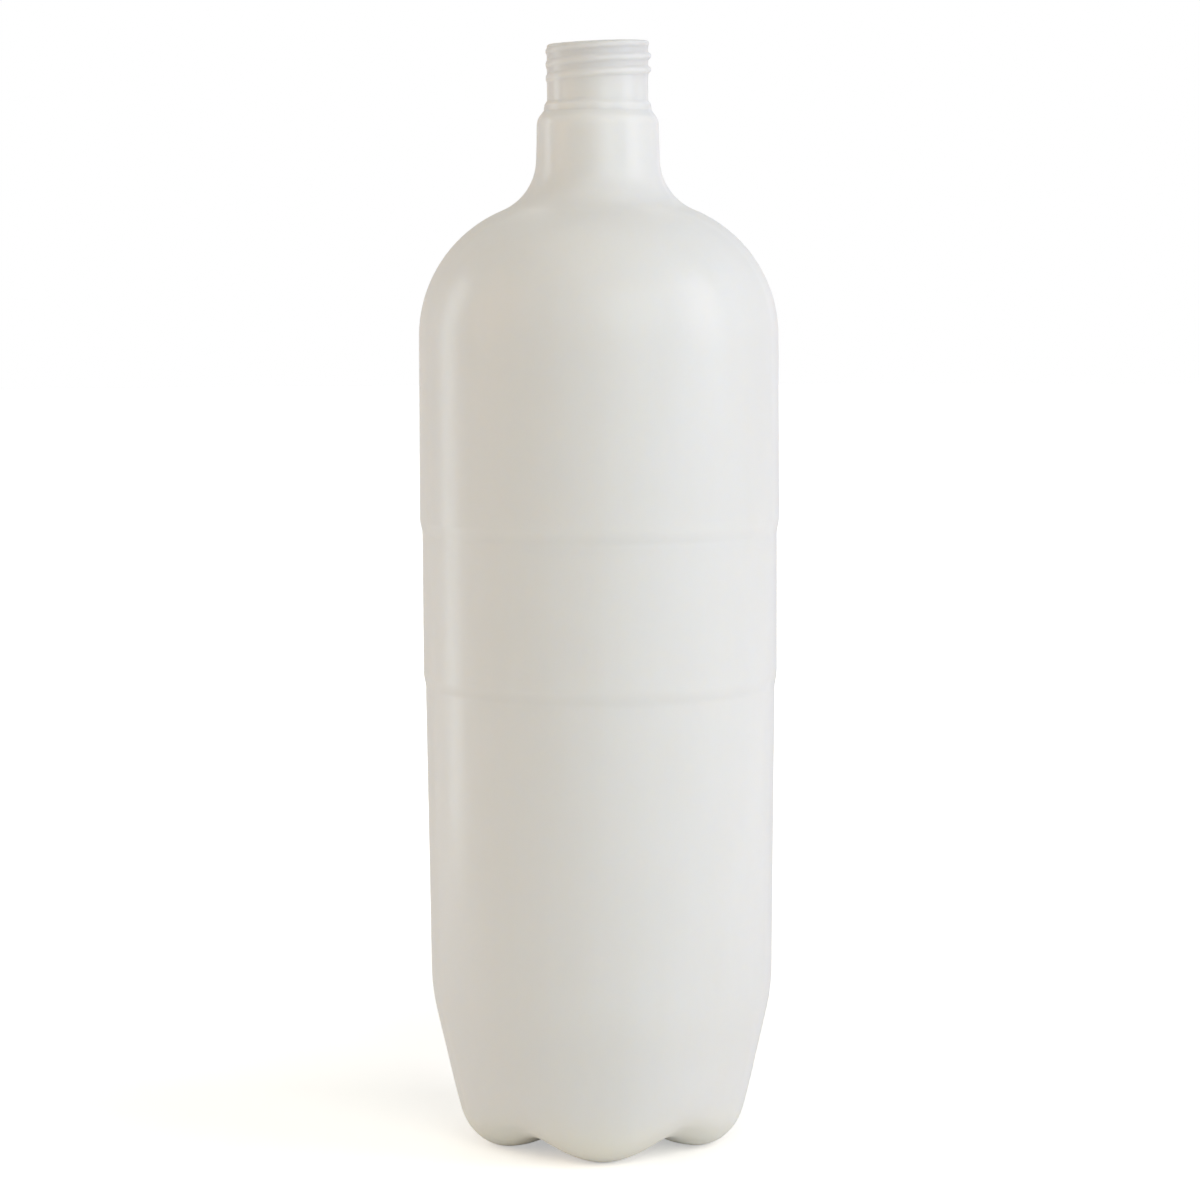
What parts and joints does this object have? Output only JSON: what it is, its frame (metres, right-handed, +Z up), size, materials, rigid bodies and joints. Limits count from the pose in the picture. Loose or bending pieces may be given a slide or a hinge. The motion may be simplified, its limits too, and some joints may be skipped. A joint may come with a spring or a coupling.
{
  "type": "dental unit water bottle",
  "caption": "Blow-moulded translucent water bottle with a threaded narrow neck, domed shoulder, soft ring steps and a base that stands on moulded feet.",
  "frame": {"origin": "on the floor under the centre of the base, on the bottle's axis", "axes": "+Z up along the bottle's axis to the mouth, -Y through the middle of one foot"},
  "size_m": [0.1078, 0.1078, 0.33],
  "materials": {
    "polyethylene": "natural milky translucent, semi-gloss"
  },
  "bodies": {
    "root": {"bottle": "polyethylene"}
  },
  "joints": []
}
